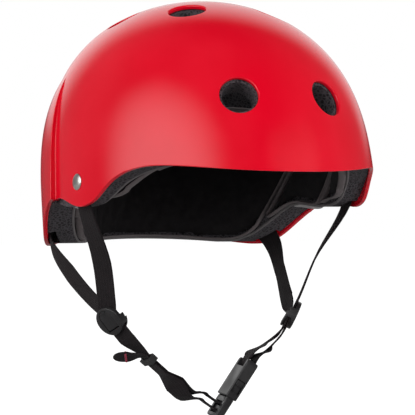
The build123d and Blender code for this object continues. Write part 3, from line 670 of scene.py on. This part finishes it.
def pad(node, name):
    """A swollen pad and its binding, in place of a CAD pad."""
    form = merged_copy(node)
    line = evened(seat_border(form), band_spacing * mm)
    form.normal_update()
    drawn = [vert.co - vert.normal * pad_draw * mm for vert in form.verts]
    for vert, place in zip(form.verts, drawn):
        vert.co = place
    cover = piece_from(form, name, pad_knit, None)
    remesh = cover.modifiers.new("remesh", "REMESH")
    remesh.mode = "VOXEL"
    remesh.voxel_size = pad_voxel * mm
    remeshed = cover.evaluated_get(bpy.context.evaluated_depsgraph_get())
    mesh = bpy.data.meshes.new_from_object(remeshed)
    cover.modifiers.clear()
    cover.data = mesh
    swell(cover)
    cover.data.polygons.foreach_set("use_smooth", [True] * len(cover.data.polygons))
    smooth = cover.modifiers.new("smooth", "SUBSURF")
    smooth.levels = smooth.render_levels = 1
    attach(cover, "helmet")
    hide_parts(node)
    piece_from(band_round(line), name + "_binding", binding_grey, "helmet")


bpy.context.view_layer.update()
pad("brow_pad", "brow_cushion")
pad("nape_pad", "nape_cushion")
pad("side_pad_right", "side_cushion_right")
pad("side_pad_left", "side_cushion_left")
pad("crown_pad", "crown_cushion")

# Piping round the lower inner edge of the liner, whose rim is a line of lengths and heights in half widths
liner_rim_shares = [
    (-1.400, 0.210),
    (-1.075, 0.222),
    (-0.884, 0.246),
    (-0.704, 0.256),
    (-0.599, 0.243),
    (-0.516, 0.219),
    (-0.439, 0.186),
    (-0.366, 0.146),
    (-0.299, 0.098),
    (-0.235, 0.055),
    (-0.172, 0.027),
    (-0.101, 0.013),
    (-0.017, 0.006),
    (0.072, 0.005),
    (0.163, 0.012),
    (0.257, 0.022),
    (0.344, 0.008),
    (0.433, -0.042),
    (0.530, -0.113),
    (0.627, -0.184),
    (0.724, -0.226),
    (0.833, -0.233),
    (0.950, -0.221),
    (1.086, -0.208),
    (1.276, -0.204),
    (1.600, -0.204),
]
liner_inside = 17.5
piping_radius = 1.1
piping_lift = 0.9
piping_steps = 220
piping_tries = 4
search_reach = 0.2
search_tries = 30


def liner_rim(y):
    """The height of the liner's rim at a length, both in metres."""
    share = y / (half_width * mm)
    for (start, low), (end, high) in zip(liner_rim_shares, liner_rim_shares[1:]):
        if start <= share <= end:
            blend = (share - start) / (end - start)
            return (low + (high - low) * blend) * half_width * mm
    return liner_rim_shares[-1][1] * half_width * mm


def on_dome(azimuth, height, inset):
    """The point of the dome drawn in by inset at an azimuth from straight ahead and a height."""
    out = Vector((sin(azimuth), -cos(azimuth), 0))
    near, far = 0.0, search_reach
    for _ in range(search_tries):
        middle = (near + far) / 2
        if dome_distance(out * middle + Vector((0, 0, height)), -inset, inset)[0] < 0:
            near = middle
        else:
            far = middle
    return out * near + Vector((0, 0, height))


piping_line = []
for index in range(piping_steps):
    azimuth = 2 * pi * index / piping_steps
    spot = on_dome(azimuth, 0, liner_inside)
    for _ in range(piping_tries):
        spot = on_dome(azimuth, liner_rim(spot.y) + piping_lift * mm, liner_inside)
    piping_line.append(spot)
piece_from(tube_round(piping_line, piping_radius), "liner_piping", piping_grey, "helmet")


# A rolled edge of the cover over each notch, coloured light grey as a painted highlight where the edge
# catches light
roll_start = 4.0
roll_end = 37.0
roll_steps = 14
roll_radius = 2.6
roll_lift = 0.2
roll_in = 2.0
roll_between = (0.5 * pi, 0.85 * pi)
roll_tries = 24


def rim_spot(y):
    """The point of the roll's line at a length, on the wearer's left."""
    height = liner_rim(y) + roll_lift * mm
    near, far = roll_between
    for _ in range(roll_tries):
        azimuth = (near + far) / 2
        if on_dome(azimuth, height, liner_inside - roll_in).y < y:
            near = azimuth
        else:
            far = azimuth
    return on_dome(near, height, liner_inside - roll_in)


for side, sense in (("right", -1), ("left", 1)):
    roll_line = []
    for index in range(roll_steps):
        spot = rim_spot((roll_start + (roll_end - roll_start) * index / (roll_steps - 1)) * mm)
        roll_line.append(Vector((spot.x * sense, spot.y, spot.z)))
    roll = tube_round(roll_line, roll_radius, cyclic=False)
    piece_from(roll, "notch_roll_" + side, roll_painted_highlight, "helmet")

# Hook tape behind the pads
tape = merged_copy("hook_patches")
piece_from(tape, "hook_tape", hook_black, "helmet", ["hook_patches"], smooth=False)


# Rivets: a domed head outside, a shank, and a rolled end over the washer
front_rivet = frame_at((-109.718, -14.0, 17.0), (0.0982, -0.9952, 0.0), (-0.9945, -0.0981, 0.0362))
rear_rivet = frame_at((-87.823, 88.0, -10.0), (-0.544, -0.8391, 0.0), (-0.8366, 0.5424, -0.0765))
across_helmet = Matrix.Scale(-1, 4, (1, 0, 0))
rivet_profile = [
    (0, 1.75), (1.2, 1.72), (2.6, 1.55), (3.9, 1.22), (4.9, 0.8), (5.4, 0.42), (5.5, 0.2), (5.42, 0.06),
    (5.2, 0.05), (2.2, 0.05), (2.2, -5.9), (2.0, -6.2), (0, -6.2),
]
rivet_form = bmesh.new()
for place in (front_rivet, rear_rivet):
    lathe(rivet_form, rivet_profile, place)
    lathe(rivet_form, rivet_profile, across_helmet @ place)
bmesh.ops.recalc_face_normals(rivet_form, faces=rivet_form.faces)
piece_from(rivet_form, "rivet_set", nickel, "helmet", ["rivets"])

# Bar tack: close stitches across both faces of the tail
tack_place = frame_at((-60.514, 12.777, -103.076), (-0.4402, -0.742, 0.5057), (-0.873, 0.4854, -0.0476))
tack_form = bmesh.new()
stitches = 24
tack_width = 12.4
stitch_rise = 1.02
stitch_half_size = (0.27, 0.25, 0.85)
stitch_tilt = radians(14)
for side in (-1, 1):
    for index in range(stitches):
        across_at = (index / (stitches - 1) - 0.5) * tack_width
        before = set(tack_form.verts)
        bmesh.ops.create_uvsphere(tack_form, u_segments=8, v_segments=6, radius=1)
        made = [v for v in tack_form.verts if v not in before]
        tilt = Matrix.Rotation(stitch_tilt * (-1) ** index, 4, "Y")
        shape = Matrix.Diagonal((*(size * mm for size in stitch_half_size), 1))
        spot = Matrix.Translation((across_at * mm, side * stitch_rise * mm, 0))
        bmesh.ops.transform(tack_form, matrix=tack_place @ spot @ tilt @ shape, verts=made)
bmesh.ops.recalc_face_normals(tack_form, faces=tack_form.faces)
piece_from(tack_form, "tack_stitches", thread_red, "helmet", ["bar_tack"])


# Outer shell: a copy whose shading follows the dome formulas, with a softened rim
shell_wall = 3.2
step_height = 4.0
step_fade = 8.6
dome_near = 0.3
dome_facing = 0.97
rim_width = 0.7
rim_segments = 3
rim_turn = radians(50)
soft_facing = 0.8
shell_layers = [
    (0.0, 0.0, 1),
    (step_height, step_fade, 1),
    (-shell_wall, shell_wall, -1),
    (step_height - shell_wall, step_fade + shell_wall, -1),
]


def layer_of(face):
    """The dome surface that a face lies on, or nothing."""
    for widen, lower, sense in shell_layers:
        middle = face.calc_center_median()
        away, outward = dome_distance(middle, widen, lower)
        if abs(away) < 2 * dome_near and face.normal.dot(outward) * sense > dome_facing:
            corners = [dome_distance(v.co, widen, lower)[0] for v in face.verts]
            if max(abs(away) for away in corners) < dome_near:
                return widen, lower, sense
    return None


def soften_rim(form):
    """Round over the edges where the shell's faces on the dome meet the others."""
    form.normal_update()
    edges = []
    for edge in form.edges:
        layers = [layer_of(face) for face in edge.link_faces]
        if len(layers) == 2 and layers.count(None) == 1 and edge.calc_face_angle(0) > rim_turn:
            edges.append(edge)
    bmesh.ops.bevel(
        form,
        geom=edges,
        offset=rim_width * mm,
        segments=rim_segments,
        profile=0.5,
        affect="EDGES",
        clamp_overlap=False,
    )
    form.normal_update()


def shell_normals(form):
    """The shading direction of each face corner: the dome's own on its faces, soft ones elsewhere."""
    form.faces.ensure_lookup_table()
    layers = [layer_of(face) for face in form.faces]
    form.faces.index_update()
    normals = []
    for face in form.faces:
        own = layers[face.index]
        for loop in face.loops:
            if own:
                normals.append(dome_distance(loop.vert.co, own[0], own[1])[1] * own[2])
                continue
            total = Vector()
            for other in loop.vert.link_faces:
                if other.normal.dot(face.normal) > soft_facing:
                    near = layers[other.index]
                    if near:
                        total = dome_distance(loop.vert.co, near[0], near[1])[1] * near[2]
                        break
                    total += other.normal * other.calc_area()
            normals.append(total.normalized())
    return normals


shell_form = merged_copy("outer_shell")
soften_rim(shell_form)
corner_normals = shell_normals(shell_form)
shell = piece_from(shell_form, "helmet_shell", shell_red, "helmet", ["outer_shell"])
shell.data.normals_split_custom_set(corner_normals)


# Moulded pieces with softened edges
flat_turn = radians(2)
edge_turn = radians(32)
sharp_turn = radians(40)
edge_segments = 2
edge_profile = 0.6


def softened(node, name, material, body, width):
    """A copy of a moulded piece whose sharp edges are rounded over."""
    form = merged_copy(node)
    bmesh.ops.dissolve_limit(form, angle_limit=flat_turn, verts=form.verts, edges=form.edges)
    form.normal_update()
    edges = [e for e in form.edges if len(e.link_faces) == 2 and e.calc_face_angle(0) > edge_turn]
    bmesh.ops.bevel(
        form,
        geom=edges,
        offset=width * mm,
        segments=edge_segments,
        profile=edge_profile,
        affect="EDGES",
        clamp_overlap=True,
    )
    bmesh.ops.remove_doubles(form, verts=form.verts, dist=merge_distance)
    bmesh.ops.recalc_face_normals(form, faces=form.faces)
    piece = piece_from(form, name, material, body, [node])
    piece.data.set_sharp_from_angle(angle=sharp_turn)


for node, name, body, width in (
    ("divider_right", "divider_body_right", "helmet", 0.45),
    ("divider_lid_right", "lock_lid_right", "lid_right", 0.3),
    ("divider_left", "divider_body_left", "helmet", 0.45),
    ("divider_lid_left", "lock_lid_left", "lid_left", 0.3),
    ("buckle_housing", "housing_body", "helmet", 0.5),
    ("buckle_tongue", "tongue_body", "tongue", 0.45),
    ("latch_arm_front", "spring_arm_front", "latch_front", 0.3),
    ("latch_arm_rear", "spring_arm_rear", "latch_rear", 0.3),
):
    softened(node, name, moulded_black, body, width)
softened("strap_keeper", "keeper_loop", keeper_black, "keeper", 0.3)

# Materials of the solids that stay
stay = {
    "foam_liner": foam_grey,
    "rivet_washers": nickel,
    "lid_pin_right": pin_steel,
    "lid_pin_left": pin_steel,
}
for name, material in stay.items():
    for slot in nodes[name].material_slots:
        slot.material = material


# Floor, backdrop and light
floor_level = -0.157
floor_reach = 6.0
floor_paint = (0.40, 0.40, 0.40, 1)
floor_shade = (0.30, 0.30, 0.30, 1)
floor_roughness = 0.9
floor_glow = 0.97
floor_form = bmesh.new()
bmesh.ops.create_grid(floor_form, x_segments=1, y_segments=1, size=floor_reach)
bmesh.ops.translate(floor_form, verts=floor_form.verts, vec=(0, 0, floor_level))
floor_mesh = bpy.data.meshes.new("floor")
floor_form.to_mesh(floor_mesh)
floor_form.free()
floor = bpy.data.objects.new("floor", floor_mesh)
scene.collection.objects.link(floor)


def camera_mix(tree, lit, seen):
    """Show one shader to the camera and through glass, and light the object with the other."""
    path = tree.nodes.new("ShaderNodeLightPath")
    straight = maths(tree, "MAXIMUM", path.outputs["Is Camera Ray"], path.outputs["Is Transmission Ray"])
    mix = tree.nodes.new("ShaderNodeMixShader")
    tree.links.new(straight, mix.inputs[0])
    tree.links.new(lit, mix.inputs[1])
    tree.links.new(seen, mix.inputs[2])
    return mix.outputs[0]


floor_material = bpy.data.materials.new("floor")
floor_material.use_nodes = True
tree = floor_material.node_tree
paint = tree.nodes["Principled BSDF"]
paint.inputs["Base Color"].default_value = floor_paint
paint.inputs["Roughness"].default_value = floor_roughness
shade = tree.nodes.new("ShaderNodeBsdfDiffuse")
shade.inputs["Color"].default_value = floor_shade
glow = tree.nodes.new("ShaderNodeEmission")
glow.inputs["Strength"].default_value = floor_glow
both = tree.nodes.new("ShaderNodeAddShader")
tree.links.new(shade.outputs[0], both.inputs[0])
tree.links.new(glow.outputs[0], both.inputs[1])
surface = camera_mix(tree, paint.outputs[0], both.outputs[0])
tree.links.new(surface, tree.nodes["Material Output"].inputs["Surface"])
floor_mesh.materials.append(floor_material)


def glow_toward(tree, direction, inner, outer, strength):
    """A soft patch of studio light: full within the inner angle, gone past the outer one."""
    look = tree.nodes.new("ShaderNodeTexCoord").outputs["Generated"]
    dot = tree.nodes.new("ShaderNodeVectorMath")
    dot.operation = "DOT_PRODUCT"
    tree.links.new(look, dot.inputs[0])
    dot.inputs[1].default_value = Vector(direction).normalized()
    fade = tree.nodes.new("ShaderNodeMapRange")
    fade.interpolation_type = "SMOOTHSTEP"
    tree.links.new(dot.outputs["Value"], fade.inputs["Value"])
    fade.inputs["From Min"].default_value = cos(radians(outer))
    fade.inputs["From Max"].default_value = cos(radians(inner))
    fade.inputs["To Max"].default_value = strength
    return fade.outputs["Result"]


def above_level(tree, low, high):
    """A mask that is nothing below the low rise and full above the high one."""
    parts = tree.nodes.new("ShaderNodeSeparateXYZ")
    tree.links.new(tree.nodes.new("ShaderNodeTexCoord").outputs["Generated"], parts.inputs[0])
    fade = tree.nodes.new("ShaderNodeMapRange")
    fade.interpolation_type = "SMOOTHSTEP"
    tree.links.new(parts.outputs["Z"], fade.inputs["Value"])
    fade.inputs["From Min"].default_value = sin(radians(low))
    fade.inputs["From Max"].default_value = sin(radians(high))
    return fade.outputs["Result"]


def view_direction(turn, rise):
    """A direction given by its angle to the left of the camera and its rise."""
    azimuth = camera_turn - radians(turn)
    return (sin(azimuth) * cos(radians(rise)), -cos(azimuth) * cos(radians(rise)), sin(radians(rise)))


world = bpy.data.worlds.new("studio")
scene.world = world
world.use_nodes = True
tree = world.node_tree
soft = tree.nodes["Background"]
soft.inputs["Color"].default_value = (1, 1, 1, 1)
level = 0.03
# Each patch: turn, rise, inner and outer angle, strength, and the rises between which its foot fades in
for turn, rise, inner, outer, strength, foot in (
    (42, 9, 10, 50, 2.7, None),
    (178, 20, 14, 42, 0.95, (4, 9)),
    (120, 22, 20, 60, 0.12, None),
    (-110, 16, 20, 60, 0.10, None),
):
    patch = glow_toward(tree, view_direction(turn, rise), inner, outer, strength)
    if foot:
        patch = maths(tree, "MULTIPLY", patch, above_level(tree, *foot))
    level = maths(tree, "ADD", patch, level)
tree.links.new(level, soft.inputs["Strength"])
white = tree.nodes.new("ShaderNodeBackground")
white.inputs["Color"].default_value = (1, 1, 1, 1)
surface = camera_mix(tree, soft.outputs[0], white.outputs[0])
tree.links.new(surface, tree.nodes["World Output"].inputs["Surface"])


lamp_distance = 1.8


def softbox(name, turn, rise, size, power):
    """A soft studio lamp placed by its angle from the camera, which only fills and isn't mirrored."""
    data = bpy.data.lights.new(name, "AREA")
    data.shape = "SQUARE"
    data.size = size
    data.energy = power
    lamp = bpy.data.objects.new(name, data)
    scene.collection.objects.link(lamp)
    lamp.location = Vector(view_direction(turn, rise)) * lamp_distance
    lamp.rotation_euler = (-lamp.location).to_track_quat("-Z", "Y").to_euler()
    lamp.visible_glossy = False


softbox("side", -58, 12, 1.2, 19)
softbox("far side", -115, 15, 1.2, 6)
softbox("front", -5, 30, 1.2, 2.5)
softbox("top", 20, 78, 1.4, 3.5)
softbox("rear", 112, 22, 1.4, 8)

scene.view_settings.view_transform = "Standard"
